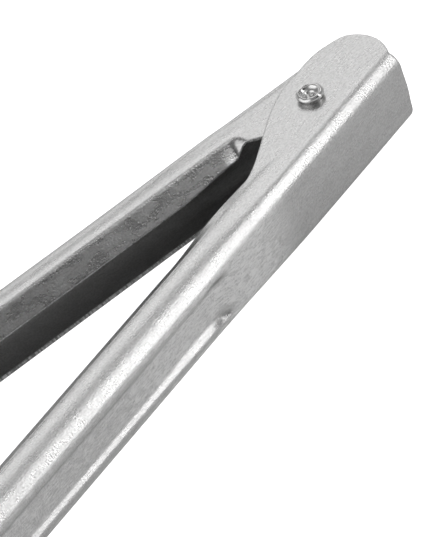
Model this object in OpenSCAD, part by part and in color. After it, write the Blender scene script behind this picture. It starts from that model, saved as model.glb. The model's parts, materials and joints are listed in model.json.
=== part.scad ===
// Sprung sheet-steel tongs, lying on their side.
// +Z runs along the pivot rivet, +X from the hinge to the jaws, and +Y to the outer arm's back.
// Each arm is first made in its own frame: t along the arm from the pivot towards the jaws,
// n outwards to the arm's back, and z along the rivet. It is then turned to its rest angle.

/* [Arms] */
// Overall length of one arm, hinge end to jaw tip
arm_length = 305; // [280:5:320]
// Thickness of the sheet steel
sheet = 0.95; // [0.8:0.05:1.1]
// Width across the outer arm's channel
arm_width = 22.6; // [22:0.2:24]
// Width across the inner arm's channel
inner_width = 20.6; // [20:0.2:21]
// Angle between the arms when the spring holds them open
open_angle = 15.6; // [12:0.2:18]

/* [Hinge] */
// Side clearance between the inner and the outer ears
ear_gap = 0.25; // [0.2:0.05:0.4]
// Distance from the pivot to the hinge end of the ears
ear_reach = 26.5; // [25:0.5:28]
// The same distance on the inner ears
inner_reach = 16; // [15:0.5:17]
// Height of the outer ears above the pivot, towards the other arm
outer_ear_top = 9.5; // [9:0.25:10]
// Height of the inner ears above the pivot, towards the other arm
inner_ear_top = 4.6; // [4:0.2:4.8]
// Diameter of the rivet's shank
pin_d = 4; // [3.6:0.1:4.4]
// Diameter of the rivet's heads
head_d = 7.5; // [7:0.1:8]

/* [Spring] */
// Diameter of the spring wire
wire_d = 1.6; // [1.4:0.1:1.8]
// Mean diameter of the spring's coil
coil_d = 8.4; // [8:0.1:9]
// Number of whole turns in the coil
coil_turns = 5; // [4:1:6]
// Length of each spring leg
leg_length = 34; // [28:1:40]

/* [Jaws] */
// Width across the jaws
jaw_width = 38; // [34:1:40]
// Length of the jaws
jaw_length = 58; // [50:1:64]
// Number of scallops along each edge of a jaw
scallops = 6; // [4:1:8]
// Height of the scallops
scallop_height = 1.6; // [1:0.1:2]

/* [Hidden] */

tip = arm_length - ear_reach;
half_w = arm_width / 2;
pin_clearance = 0.05;
pivot_z = jaw_width / 2;
// Origin: the middle of the object's box in X and Y, and its lowest point in Z.
pivot_x = (ear_reach - tip * cos(open_angle / 2) - 0.54) / 2;
pivot_y = 1;

// Channel section of the grip, measured from the centre of its side arcs.
side_r = 10.2;
shoulder_r = 3.2;
shoulder_start = 40;
groove_depth = 1.25;
fold_drop = 1.7;
turn_in = asin(fold_drop / side_r);
lip_length = 6.75;
lip_lean = 42;
// How far the hinge's flat back bows out.
hinge_crown = 0.3;
// Rivet heads: the flat of the factory head, both heads' heights, and the rolled rim and its dish.
head_r = head_d / 2;
flat_r = 2.6;
low_head = 1.6;
high_head = 2.3;
rim_r = 0.9;
dish_r = 1.3;
tube_r = 1.2;
tube_depth = 1;
// How far the backs come in between the hinge and the ends of the spring's legs.
leg_drop = 0.6;

// Places along an arm where its section changes.
nose_length = 4;
end_round = 11.5;
channel_from = 22;
channel_to = 72;
groove_from = 57;
groove_to = 67;
jaw_from = tip - jaw_length - 14;
jaw_to = tip - jaw_length + 10;
jaw_depth = 7.5;

// The closed arms stand this far apart in angle, where their lips would first touch.
closed_angle = 2;

// One arm's own numbers, in the order of the names below.
OUTER = [half_w, outer_ear_top, 12.9, 4.9, -3, 39, 2.4, 28, 66, 75, ear_reach, half_w, 4.6, 6.75, 80, 28, 0];
INNER = [half_w - sheet - ear_gap, inner_ear_top, 15.3, 8.2, 7.5, 24.5, 3.7, 21.3, 23.4, 24.6, inner_reach,
         inner_width / 2, 4.5, 5.4, 46, 20.4, 4];
function ear_half(arm) = arm[0];      // half width across the ears
function ear_top(arm) = arm[1];       // height of the ears towards the other arm
function hinge_back(arm) = arm[2];    // height of the back at the hinge
function grip_centre(arm) = arm[3];   // height of the centre of the grip's side arcs
function edge_from(arm) = arm[4];     // where the ears' edge starts to come down
function edge_to(arm) = arm[5];       // where it has come down
function edge_low(arm) = arm[6];      // its height there
function lip_from(arm) = arm[7];      // where the edge starts to fold in as a lip
function lean_to(arm) = arm[8];       // where the lip leans in fully
function lip_to(arm) = arm[9];        // where the lip has its first length
function reach(arm) = arm[10];        // distance from the pivot to the hinge end
function grip_half_w(arm) = arm[11];  // half width across the grip
function hinge_r(arm) = arm[12];      // corner radius at the hinge
function lip_first(arm) = arm[13];    // first length of the lip
function lip_full(arm) = arm[14];     // where the lip has its full length
function lean_from(arm) = arm[15];    // where the lip starts to lean in
function curl(arm) = arm[16];         // how much further its corner is folded in
function square_end(arm) = reach(arm) - nose_length;

function clamp01(x) = min(1, max(0, x));
function ease(a, b, x) = let (u = clamp01((x - a) / (b - a))) u * u * (3 - 2 * u);
function mix(a, b, w) = a * (1 - w) + b * w;
function arc_point(c, r, a) = [c[0] + r * sin(a), c[1] + r * cos(a)];

// Half width of an arm at station s: inner ears step out a little to the grip's width past the hinge.
function half_at(arm, s) = mix(ear_half(arm), grip_half_w(arm), ease(18, 26, s));

// Free edge of an ear, as a height n: rounded at the hinge end, then an S-curve down to the channel.
function edge_at(arm, s) =
    let (past = end_round - square_end(arm) - s)
    past > 0
    ? -ear_top(arm) + 5 * (1 - sqrt(max(0, 1 - pow(past / end_round, 2))))
    : mix(-ear_top(arm), edge_low(arm), ease(edge_from(arm), edge_to(arm), s));

// Outline of one half of a section, [n, z] from its free edge to the middle of its back.
function hinge_half(arm, s) =
    let (h = half_at(arm, s), r = hinge_r(arm), c = [hinge_back(arm) - r, h - r], e = edge_at(arm, s))
    concat([for (i = [0:4]) [mix(e, c[0], i / 5), h]],
           [for (i = [0:6]) arc_point(c, r, i * 15)],
           [for (i = [1:4]) [hinge_back(arm) + hinge_crown * ease(0, 4, i), c[1] * (1 - i / 4)]]);

function grip_half(arm, s) =
    let (turned = ease(lean_from(arm), lean_to(arm), s),
         lean = turned * (lip_lean + curl(arm) * (1 - ease(lean_to(arm), lean_to(arm) + 5, s))),
         ear_length = max(1.3, grip_centre(arm) - fold_drop - edge_at(arm, s)),
         length = mix(ear_length, lip_first(arm), ease(lip_from(arm), lip_to(arm), s))
                  + (lip_length - lip_first(arm)) * ease(lip_to(arm), lip_full(arm), s),
         h = half_at(arm, s),
         depth = groove_depth * ease(groove_from, groove_to, s) * (1 - ease(jaw_from - 12, jaw_from, s))
                 * (1 + 0.45 * exp(-pow((s - 75) / 15, 2))),
         fold = [grip_centre(arm) - fold_drop, h - side_r * (1 - cos(turn_in))],
         side = [grip_centre(arm), h - side_r],
         shoulder = arc_point(side, side_r - shoulder_r, shoulder_start),
         top = shoulder[0] + shoulder_r)
    concat([for (i = [0:2]) fold - length * (1 - i / 3) * [cos(lean), sin(lean)]],
           [for (i = [0:4]) arc_point(side, side_r, mix(-turn_in, shoulder_start, i / 4))],
           [for (i = [1:4]) arc_point(shoulder, shoulder_r, mix(shoulder_start, 90, i / 4))],
           [for (i = [1:4]) [top - depth * ease(0.08, 0.42, i / 4), shoulder[1] * (1 - i / 4)]]);

// Width of a jaw at station s: it swells from the channel, and its end is round.
function jaw_half_w(arm, s) =
    let (full = mix(grip_half_w(arm), jaw_width / 2, ease(jaw_from, tip - jaw_length * 0.5, s)),
         u = clamp01((s - (tip - 17)) / 17))
    full * sqrt(max(0.06, 1 - u * u));

// Height of a jaw's edge where it meets the other jaw, with the arms closed.
function jaw_edge(s) = 0.35 - s * sin(closed_angle / 2);

// How far the jaw's edge stands back between its scallops.
function scallop(s) =
    let (run = clamp01((s - (tip - jaw_length)) / (jaw_length - 6)))
    scallop_height * (0.5 - 0.5 * cos(360 * scallops * run)) * ease(0, 0.06, run);

function jaw_half(arm, s) =
    let (w = jaw_half_w(arm, s), depth = jaw_depth * w / (jaw_width / 2))
    [for (i = [0:15]) let (u = i / 15)
        [jaw_edge(s) + sheet + scallop(s) * pow(1 - u, 2) + depth * sin(90 * u), w * cos(90 * u)]];

function half_section(arm, s) =
    let (a = hinge_half(arm, s), b = grip_half(arm, s), c = jaw_half(arm, s),
         we = ease(lip_from(arm) - 8, lip_from(arm) + 2, s), wb = ease(channel_from, channel_to, s),
         wc = ease(jaw_from, jaw_to, s))
    [for (i = [0:15]) mix(mix(a[i], b[i], mix(we, wb, ease(3, 6, i))), c[i], wc)];

function mirrored(half) = concat(half, [for (i = [14:-1:0]) [half[i][0], -half[i][1]]]);

// The sheet's inside outline: each point moved in by the thickness, square to its neighbours.
function inside(path) =
    let (last = len(path) - 1)
    [for (i = [0:last])
        let (d = path[min(last, i + 1)] - path[max(0, i - 1)])
        path[i] + sheet * [d[1], -d[0]] / norm(d)];

// How far the hinge end reaches past its square-cut back, at height n.
function nose(n) = nose_length * max(0, 1 - pow((n - 1) / 9, 2));

function ring(arm, s) =
    let (path = mirrored(half_section(arm, s)), loop = concat(path, [for (p = inside(path)) p]))
    [for (p = loop) [s - nose(p[0]) * ease(square_end(arm) - 13, square_end(arm), -s), p[0], p[1]]];

function stations(arm) =
    concat([for (d = [0, 1, 2.5, 4.5, 7.5, 10.5]) d - square_end(arm)],
           [for (i = [1:9]) mix(10.5 - square_end(arm), 12, i / 9)],
           [for (s = [14:2:42]) s], [for (s = [46:5:81]) s], [for (s = [90:34:158]) s],
           [for (i = [0:4]) jaw_from - 12 + i * 5],
           [for (i = [1:34]) mix(jaw_from + 10, tip, i / 34)]);

// A sheet arm in its own frame, as one closed skin over all its sections.
module arm_skin(arm) {
    rings = [for (s = stations(arm)) ring(arm, s)];
    count = 31;
    size = 2 * count;
    last = len(rings) - 1;
    at = function (r, side, i) r * size + side * count + i;
    outside_faces = [for (r = [0:last - 1], i = [0:count - 2], k = [0, 1]) k == 0
        ? [at(r, 0, i), at(r, 0, i + 1), at(r + 1, 0, i + 1)]
        : [at(r, 0, i), at(r + 1, 0, i + 1), at(r + 1, 0, i)]];
    inside_faces = [for (r = [0:last - 1], i = [0:count - 2], k = [0, 1]) k == 0
        ? [at(r, 1, i), at(r + 1, 1, i + 1), at(r, 1, i + 1)]
        : [at(r, 1, i), at(r + 1, 1, i), at(r + 1, 1, i + 1)]];
    edge_faces = [for (r = [0:last - 1], e = [0, count - 1], k = [0, 1])
        let (q = e == 0
             ? [at(r, 0, 0), at(r + 1, 0, 0), at(r + 1, 1, 0), at(r, 1, 0)]
             : [at(r, 1, e), at(r + 1, 1, e), at(r + 1, 0, e), at(r, 0, e)])
        k == 0 ? [q[0], q[1], q[2]] : [q[0], q[2], q[3]]];
    end_faces = [for (r = [0, last], i = [0:count - 2], k = [0, 1])
        let (q = r == 0
             ? [at(r, 0, i), at(r, 1, i), at(r, 1, i + 1), at(r, 0, i + 1)]
             : [at(r, 0, i), at(r, 0, i + 1), at(r, 1, i + 1), at(r, 1, i)])
        k == 0 ? [q[0], q[1], q[2]] : [q[0], q[2], q[3]]];
    polyhedron([for (r = rings, p = r) p],
               concat(outside_faces, inside_faces, edge_faces, end_faces), convexity = 12);
}

// The arm with its pivot hole, still in its own frame.
module drilled_arm(arm) {
    difference() {
        arm_skin(arm);
        cylinder(h = arm_width + 4, d = pin_d + 2 * pin_clearance, center = true, $fn = 48);
    }
}

module at_pivot() {
    translate([pivot_x, pivot_y, pivot_z]) children();
}

module outer_arm() {
    color([0.76, 0.77, 0.78])
    at_pivot() rotate([0, 0, open_angle / 2]) drilled_arm(OUTER);
}

module inner_arm() {
    color([0.70, 0.71, 0.72])
    at_pivot() rotate([0, 0, -open_angle / 2]) mirror([0, 1, 0]) drilled_arm(INNER);
}

// Rivet: a plain shank, a flat-topped factory head below, and a rolled tubular head above.
module pivot_rivet() {
    color([0.80, 0.80, 0.81])
    at_pivot()
    rotate_extrude($fn = 64)
    polygon(concat([[0, -half_w - low_head], [flat_r, -half_w - low_head]],
                   [for (a = [15:15:90]) [flat_r + (head_r - flat_r) * sin(a),
                                          -half_w - 0.4 - (low_head - 0.4) * cos(a)]],
                   [[head_r, -half_w], [pin_d / 2, -half_w], [pin_d / 2, half_w], [head_r - 0.5, half_w]],
                   [for (a = [-60:15:90]) [head_r - rim_r + rim_r * cos(a), half_w + high_head - rim_r
                                           + (a < 0 ? high_head - 2 * rim_r : rim_r) * sin(a)]],
                   [for (a = [15:15:75]) [head_r - rim_r - dish_r * (1 - cos(a)),
                                          half_w + high_head - dish_r * sin(a)]],
                   [[tube_r, half_w + 0.5], [tube_r, half_w - tube_depth], [0, half_w - tube_depth - 0.4]]));
}

// Spring: a round coil about the pivot, and a straight leg that leaves it at a tangent to bear on the
// inside of each arm's back.
coil_r = coil_d / 2;
coil_half = wire_d * 1.06 * coil_turns / 2;
leg_sides = 8;
leg_gap = 0.15;
function leg_angle(arm) =
    open_angle / 2 + asin((hinge_back(arm) - leg_drop - sheet - leg_gap - wire_d / 2 - coil_r) / leg_length);

// Centre line: a leg on the outer arm's side, the turns, and a leg on the inner arm's side.
function coil_point(u) =
    let (a = mix(leg_angle(OUTER) + 90, 360 * coil_turns - leg_angle(INNER) - 90, u))
    [coil_r * cos(a), coil_r * sin(a), mix(-coil_half, coil_half, u)];
function leg_point(side, x) =
    let (a = leg_angle(side > 0 ? OUTER : INNER))
    [x * cos(a) - coil_r * sin(a), side * (x * sin(a) + coil_r * cos(a)), -side * coil_half];

WIRE = concat([for (i = [4:-1:1]) leg_point(1, leg_length * i / 4)],
              [for (i = [0:16 * coil_turns - 8]) coil_point(i / (16 * coil_turns - 8))],
              [for (i = [1:4]) leg_point(-1, leg_length * i / 4)]);

function unit(v) = v / norm(v);
function wire_ring(i) =
    let (last = len(WIRE) - 1,
         d = unit(WIRE[min(last, i + 1)] - WIRE[max(0, i - 1)]),
         a = unit(cross([0, 0, 1], d)), b = cross(d, a))
    [for (k = [0:leg_sides - 1]) WIRE[i] + wire_d / 2 * (a * cos(360 * k / leg_sides) + b * sin(360 * k / leg_sides))];

module torsion_spring() {
    last = len(WIRE) - 1;
    n = leg_sides;
    color([0.62, 0.62, 0.63])
    at_pivot()
    polyhedron([for (i = [0:last], p = wire_ring(i)) p],
               concat([[for (k = [0:n - 1]) k]],
                      [for (i = [0:last - 1], k = [0:n - 1])
                          [i * n + k, (i + 1) * n + k, (i + 1) * n + (k + 1) % n, i * n + (k + 1) % n]],
                      [[for (k = [n - 1:-1:0]) last * n + k]]),
               convexity = 10);
}

outer_arm();
inner_arm();
pivot_rivet();
torsion_spring();
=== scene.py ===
"""Sprung sheet-steel tongs: the finished look of the two arms, the rivet and the spring.

Run as a script, it builds the pieces round the packed model. Shapes are worked out in millimetres,
each arm in its own frame: t along the arm from the pivot to the jaws, n outwards to the arm's back,
and z along the rivet. A section runs over u from 0, its free edge, to 15, the middle of its back.
"""

import json
from types import SimpleNamespace

import bpy
import numpy as np
from bpy.props import FloatProperty, FloatVectorProperty, IntProperty, PointerProperty
from mathutils import Matrix, Vector
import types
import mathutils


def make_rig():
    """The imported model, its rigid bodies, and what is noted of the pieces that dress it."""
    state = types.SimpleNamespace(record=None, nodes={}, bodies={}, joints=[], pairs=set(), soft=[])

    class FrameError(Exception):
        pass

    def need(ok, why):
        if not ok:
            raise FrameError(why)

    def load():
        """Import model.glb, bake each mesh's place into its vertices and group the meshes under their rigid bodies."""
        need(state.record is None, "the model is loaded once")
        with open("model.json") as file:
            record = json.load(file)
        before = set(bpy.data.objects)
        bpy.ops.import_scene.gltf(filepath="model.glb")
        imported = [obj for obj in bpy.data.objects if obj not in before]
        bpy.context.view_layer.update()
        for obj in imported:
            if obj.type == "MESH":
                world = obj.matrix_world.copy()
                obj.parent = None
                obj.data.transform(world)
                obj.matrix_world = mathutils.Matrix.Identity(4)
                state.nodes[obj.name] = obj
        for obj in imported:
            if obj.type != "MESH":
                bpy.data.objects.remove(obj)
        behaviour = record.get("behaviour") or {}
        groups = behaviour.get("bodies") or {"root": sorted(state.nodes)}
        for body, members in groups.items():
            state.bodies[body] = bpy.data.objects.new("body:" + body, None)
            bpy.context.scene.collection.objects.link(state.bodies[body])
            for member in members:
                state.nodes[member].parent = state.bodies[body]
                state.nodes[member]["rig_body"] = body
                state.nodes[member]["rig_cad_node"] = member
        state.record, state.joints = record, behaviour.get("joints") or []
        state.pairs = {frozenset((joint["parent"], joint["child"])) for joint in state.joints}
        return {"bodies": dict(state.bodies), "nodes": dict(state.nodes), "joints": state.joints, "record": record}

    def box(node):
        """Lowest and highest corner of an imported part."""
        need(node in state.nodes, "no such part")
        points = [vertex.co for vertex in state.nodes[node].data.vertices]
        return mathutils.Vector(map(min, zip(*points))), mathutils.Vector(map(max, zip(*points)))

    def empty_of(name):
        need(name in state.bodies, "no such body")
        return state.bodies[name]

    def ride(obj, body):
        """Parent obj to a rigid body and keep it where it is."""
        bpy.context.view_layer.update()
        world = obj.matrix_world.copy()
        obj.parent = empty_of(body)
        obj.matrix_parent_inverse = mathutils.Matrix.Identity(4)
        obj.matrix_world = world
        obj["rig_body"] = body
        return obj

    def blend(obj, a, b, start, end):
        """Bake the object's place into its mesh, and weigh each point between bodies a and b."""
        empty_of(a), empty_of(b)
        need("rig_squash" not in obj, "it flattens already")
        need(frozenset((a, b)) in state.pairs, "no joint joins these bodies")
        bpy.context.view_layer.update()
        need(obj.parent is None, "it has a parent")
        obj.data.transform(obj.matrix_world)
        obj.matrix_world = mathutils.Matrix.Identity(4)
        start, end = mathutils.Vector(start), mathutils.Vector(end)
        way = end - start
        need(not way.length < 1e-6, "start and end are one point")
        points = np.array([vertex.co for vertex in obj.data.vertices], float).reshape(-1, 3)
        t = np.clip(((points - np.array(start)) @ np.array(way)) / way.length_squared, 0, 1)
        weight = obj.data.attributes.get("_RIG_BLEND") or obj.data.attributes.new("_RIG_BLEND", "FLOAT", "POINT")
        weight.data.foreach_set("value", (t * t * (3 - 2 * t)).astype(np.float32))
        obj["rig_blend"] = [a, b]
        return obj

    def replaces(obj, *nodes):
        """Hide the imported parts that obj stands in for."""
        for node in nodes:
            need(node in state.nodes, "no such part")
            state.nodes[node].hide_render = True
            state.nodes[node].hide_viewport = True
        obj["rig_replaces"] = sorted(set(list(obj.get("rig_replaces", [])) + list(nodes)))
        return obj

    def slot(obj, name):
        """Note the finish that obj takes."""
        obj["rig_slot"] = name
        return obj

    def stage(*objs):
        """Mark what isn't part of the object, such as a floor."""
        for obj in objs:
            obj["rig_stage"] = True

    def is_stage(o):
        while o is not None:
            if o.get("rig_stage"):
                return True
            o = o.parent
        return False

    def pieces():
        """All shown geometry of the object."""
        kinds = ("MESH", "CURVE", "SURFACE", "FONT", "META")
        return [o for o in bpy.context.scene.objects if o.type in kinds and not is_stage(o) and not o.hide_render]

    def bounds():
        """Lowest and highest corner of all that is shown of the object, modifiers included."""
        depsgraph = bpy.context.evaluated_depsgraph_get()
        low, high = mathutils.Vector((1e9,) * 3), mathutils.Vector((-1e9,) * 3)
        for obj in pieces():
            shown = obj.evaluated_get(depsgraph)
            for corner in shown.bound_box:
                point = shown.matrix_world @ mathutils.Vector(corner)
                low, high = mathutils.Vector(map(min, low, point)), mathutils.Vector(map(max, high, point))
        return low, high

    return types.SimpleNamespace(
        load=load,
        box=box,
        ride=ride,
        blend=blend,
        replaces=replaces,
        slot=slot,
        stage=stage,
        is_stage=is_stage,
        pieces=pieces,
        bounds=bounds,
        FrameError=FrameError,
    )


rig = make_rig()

bl_info = {
    "name": "Sheet-steel tongs",
    "version": (1, 0, 0),
    "blender": (4, 5, 0),
    "location": "View3D > Sidebar > Tongs",
    "description": "Builds sprung sheet-steel tongs, with their finishes and a studio stage",
    "category": "Add Mesh",
}

MM = 0.001
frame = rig.load()
CAD_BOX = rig.bounds()
RIVET_LOW, RIVET_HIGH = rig.box("pivot_rivet")
ARM_LOW, ARM_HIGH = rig.box("outer_arm")
PIVOT = Vector(((RIVET_LOW.x + RIVET_HIGH.x) / 2, (RIVET_LOW.y + RIVET_HIGH.y) / 2,
                (ARM_LOW.z + ARM_HIGH.z) / 2))


# ---------------------------------------------------------------- sizes and colours

def length(name, description, mm):
    """A length property whose default is given in millimetres."""
    return FloatProperty(name=name, description=description, default=mm * MM, precision=5, unit="LENGTH")


def number(name, description, default):
    """A plain number property."""
    return FloatProperty(name=name, description=description, default=default, precision=3)


def colour(name, description, grey, tint=0.0):
    """A near-grey colour property, a little warmer where tint is above 0."""
    return FloatVectorProperty(name=name, description=description, subtype="COLOR", size=3, min=0, max=1,
                               default=(grey * (1 + tint), grey, grey * (1 - tint)))


class TongsSheet(bpy.types.PropertyGroup):
    """Sizes that both arms share."""

    sheet: length("Sheet", "Thickness of the sheet steel", 0.95)
    edge_round: length("Edge rounding", "Radius worn on the sheet's cut edges", 0.26)
    half_w: length("Half width", "Half the width across an arm's channel", 11.3)
    arm_length: length("Arm length", "Length of one arm, hinge end to jaw tip", 305)
    hinge_crown: length("Hinge crown", "How far the hinge's flat back bows out", 0.3)
    side_r: length("Side radius", "Radius of the grip's rounded sides", 10.2)
    shoulder_r: length("Shoulder radius", "Radius where the sides turn onto the back", 3.2)
    groove_depth: length("Groove depth", "Depth of the groove down the arm's back", 1.25)
    lip_length: length("Lip length", "Width of the lips folded in along the grip", 6.75)
    fold_drop: length("Fold drop", "How far the sides run past their widest place to the fold", 1.7)
    jaw_half: length("Half jaw", "Half the width across the jaws", 19)
    jaw_length: length("Jaw length", "Length of the cupped jaws", 58)
    jaw_depth: length("Jaw depth", "Depth of the jaws' cups", 7.5)
    scallop_height: length("Scallop height", "Height of the scallops along the jaws", 1.6)
    pin_d: length("Pin hole", "Diameter of the hole through each ear", 4.1)
    dimple_depth: length("Dimple depth", "Depth of the tool marks where the groove starts", 0.8)
    open_angle: FloatProperty(name="Open angle", description="Angle between the arms at rest",
                              default=np.radians(15.6), unit="ROTATION")
    shoulder_start: FloatProperty(name="Shoulder start", description="Where the side arc meets the shoulder",
                                  default=np.radians(40), unit="ROTATION")
    lip_lean: FloatProperty(name="Lip lean", description="How far the lips lean in",
                            default=np.radians(42), unit="ROTATION")
    closed_angle: FloatProperty(name="Closed angle", description="Angle between the closed arms",
                                default=np.radians(2), unit="ROTATION")
    scallops: IntProperty(name="Scallops", description="Scallops along each edge of a jaw", default=6)


ARM_LABELS = {
    "ear_half": ("Half ears", "Half width across the ears"),
    "grip_half": ("Half grip", "Half width across the grip"),
    "ear_top": ("Ear height", "Height of the ears above the pivot"),
    "hinge_back": ("Hinge back", "Height of the back at the hinge"),
    "hinge_r": ("Hinge corner", "Corner radius of the flat-backed hinge section"),
    "grip_centre": ("Grip centre", "Height of the centre of the grip's side arcs"),
    "edge_from": ("Edge start", "Where the ears' edge starts to come down"),
    "edge_to": ("Edge end", "Where the ears' edge has come down"),
    "edge_low": ("Edge height", "Height of the edge there"),
    "lip_from": ("Lip start", "Where the edge starts to fold in"),
    "lip_to": ("Lip corner", "Where the lip has its first width"),
    "lip_first": ("First lip width", "Width of the lip at its corner"),
    "lip_full": ("Lip end", "Where the lip has its full width"),
    "lean_from": ("Lean start", "Where the lip starts to lean in"),
    "lean_to": ("Lean end", "Where the lip leans in fully"),
    "reach": ("Reach", "Distance from the pivot to the hinge end"),
}


def arm_group(name, note, curl, **sizes):
    """A property group for one arm: its sizes in millimetres and its lip's curl in degrees."""
    fields = {key: length(*ARM_LABELS[key], mm) for key, mm in sizes.items()}
    fields["curl"] = FloatProperty(name="Curl", description="How much further the lip's corner is folded in",
                                   default=np.radians(curl), unit="ROTATION")
    return type(name, (bpy.types.PropertyGroup,), {"__doc__": note, "__annotations__": fields})


TongsOuterArm = arm_group(
    "TongsOuterArm", "Sizes of the arm whose ears lie outside.", curl=0,
    ear_half=11.3, grip_half=11.3, ear_top=9.5, hinge_back=12.9, hinge_r=4.6, grip_centre=4.9, reach=26.5,
    edge_from=-3, edge_to=39, edge_low=2.4, lip_from=28, lip_to=75, lip_first=6.75, lip_full=80,
    lean_from=28, lean_to=66)
TongsInnerArm = arm_group(
    "TongsInnerArm", "Sizes of the arm whose ears nest inside.", curl=4,
    ear_half=10.1, grip_half=10.3, ear_top=4.6, hinge_back=15.3, hinge_r=4.5, grip_centre=8.2, reach=16,
    edge_from=7.5, edge_to=24.5, edge_low=3.7, lip_from=21.3, lip_to=24.6, lip_first=5.4, lip_full=46,
    lean_from=20.4, lean_to=23.4)


class TongsRivet(bpy.types.PropertyGroup):
    """Sizes of the semi-tubular rivet."""

    head_r: length("Head radius", "Radius of both heads", 3.75)
    flat_r: length("Flat radius", "Radius of the flat on the factory head", 2.6)
    low_head: length("Factory head", "Height of the factory head", 1.6)
    high_head: length("Rolled head", "Height of the rolled head", 2.3)
    rim_r: length("Rim radius", "Radius of the rolled rim", 0.9)
    dish_r: length("Dish radius", "Radius of the curve into the tube", 1.3)
    tube_r: length("Tube radius", "Radius of the rivet's open tube", 1.2)
    tube_depth: length("Tube depth", "Depth of the tube below the ears", 1)
    pin_r: length("Shank radius", "Radius of the shank", 2)


class TongsSpring(bpy.types.PropertyGroup):
    """Sizes of the torsion spring."""

    wire_r: length("Wire radius", "Radius of the spring wire", 0.8)
    coil_r: length("Coil radius", "Mean radius of the coil", 4.2)
    pitch: length("Pitch", "Rise of the coil in one turn", 1.696)
    leg: length("Leg", "Length of each leg", 34)
    leg_gap: length("Leg gap", "Clearance between a leg and its arm's back", 0.15)
    leg_drop: length("Leg drop", "How far the backs come in towards the legs' ends", 0.6)
    turns: IntProperty(name="Turns", description="Number of whole turns", default=5)


class TongsFinish(bpy.types.PropertyGroup):
    """Colours and surface of the metals."""

    steel_light: colour("Steel, light", "Brightest colour of the rolled sheet", 0.67, 0.004)
    steel_dark: colour("Steel, dark", "Darkest colour of the rolled sheet", 0.53, 0.004)
    steel_rough: number("Steel roughness", "Roughness of the outside of the sheet", 0.28)
    # The inside's colours are darker than the steel's: partly a duller finish, partly painted shade inside the
    # channel.
    inside_light: colour("Inside, light", "Brightest colour of the dull inside", 0.55, 0.002)
    inside_dark: colour("Inside, dark", "Darkest colour of the dull inside", 0.44, 0.002)
    inside_rough: number("Inside roughness", "Roughness of the dull inside", 0.55)
    edge_light: colour("Edge, light", "Brightest colour of the sheared edge", 0.98)
    edge_dark: colour("Edge, dark", "Darkest colour of the sheared edge", 0.4)
    plate_light: colour("Plate, light", "Brightest colour of the bright-plated rivet", 0.86, 0.004)
    plate_dark: colour("Plate, dark", "Darkest colour of the bright-plated rivet", 0.72, 0.004)
    wire_light: colour("Wire, light", "Brightest colour of the spring wire", 0.5, 0.003)
    wire_dark: colour("Wire, dark", "Darkest colour of the spring wire", 0.3, 0.003)


class TongsStage(bpy.types.PropertyGroup):
    """Camera, light and floor."""

    azimuth: FloatProperty(name="Azimuth", description="Camera's heading", default=np.radians(143.3),
                           unit="ROTATION")
    elevation: FloatProperty(name="Elevation", description="Camera's height above the horizon",
                             default=np.radians(39.05), unit="ROTATION")
    roll: FloatProperty(name="Roll", description="Camera's roll", default=np.radians(17.46), unit="ROTATION")
    distance: length("Distance", "From the camera to what it looks at", 1500)
    lens: number("Lens", "Camera's focal length in millimetres", 389.0)
    aim: FloatVectorProperty(name="Aim", description="What the camera looks at, from the rivet's rolled head",
                             default=(0.0427, -0.0045, -0.0270), subtype="TRANSLATION", unit="LENGTH")
    floor_grey: colour("Floor", "Colour of the floor", 0.78)
    floor_light: number("Floor light", "Light the floor gives off of its own", 0.08)
    floor_glow: number("Floor glow", "Extra light the floor sends straight to the camera", 0.95)


def in_mm(group):
    """The group's values as plain numbers, with its lengths in millimetres."""
    kinds = group.bl_rna.properties
    scale = {k: 1 / MM if kinds[k].unit == "LENGTH" else 1 for k in group.__annotations__}
    return SimpleNamespace(**{k: getattr(group, k) * scale[k] for k in scale})


# ---------------------------------------------------------------- section formulas

# Places along an arm, in millimetres from the pivot, and lengths of its transitions. The groove's wall is
# given as shares of the way from its edge to its middle, and its deepening as a share of its depth.
NOSE = 4.0
NOSE_CORNER, NOSE_CORNER_DEPTH = 11.5, 5.0
EARS_END, GRIP_START = 18, 26
GROOVE_START, GROOVE_FULL, GROOVE_RUN_OUT = 57, 67, 12
GROOVE_WALL = 0.08, 0.42
GROOVE_DEEPEST, GROOVE_DEEP_SPREAD, GROOVE_DEEPENING = 75, 15, 0.45
SHORTEST_EAR = 1.3
JAW_FLARE, JAW_SETTLE, JAW_TIP = 14, 10, 17
JAW_PARTING = 0.35
DENT_AT, DENT_LONG, DENT_OFFSET, DENT_WIDE = 65, 4.2, 5.3, 1.3
WEAR_RISE, WEAR_FADE, WEAR_LOST = (28, 52), (84, 112), 0.55
# The last of these pulls the Wear values below 0 in the dents, where the metal darkens the colour as painted shade.
WALL_START, WALL_WEAR_LOST, DENT_PAINTED_SHADE_WEIGHT = (60, 66), 0.85, 0.9


def ease(low, high, x):
    """Smooth step: 0 below low, 1 above high, and 3x^2 - 2x^3 between them."""
    x = np.clip((x - low) / (high - low), 0, 1)
    return x * x * (3 - 2 * x)


def mix(a, b, w):
    """From a to b as w goes from 0 to 1."""
    return a + (b - a) * w


def arc(centre_n, centre_z, radius, angle):
    """A point on a circle, its angle measured from the +z side towards +n."""
    return centre_n + radius * np.sin(angle), centre_z + radius * np.cos(angle)


def pick(conditions, shapes):
    """The (n, z) of the first shape whose condition holds, everywhere on the grid."""
    shape = np.broadcast_shapes(*[np.shape(c) for c in conditions], *[np.shape(s[0]) for s in shapes])
    full = [np.broadcast_to(c, shape) for c in conditions]
    return tuple(np.select(full, [np.broadcast_to(s[k], shape) for s in shapes[:-1]],
                           np.broadcast_to(shapes[-1][k], shape)) for k in (0, 1))


def square_end(arm):
    """How far the arm's square end lies behind the pivot, without its rounded nose."""
    return arm.reach - NOSE


def jaw_start(d):
    """Station where the grip starts to flare into the jaw."""
    return d.tip - d.jaw_length - JAW_FLARE


def half_width(arm, s):
    """Half width at station s: eased from the ears' to the grip's."""
    return mix(arm.ear_half, arm.grip_half, ease(EARS_END, GRIP_START, s))


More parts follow.
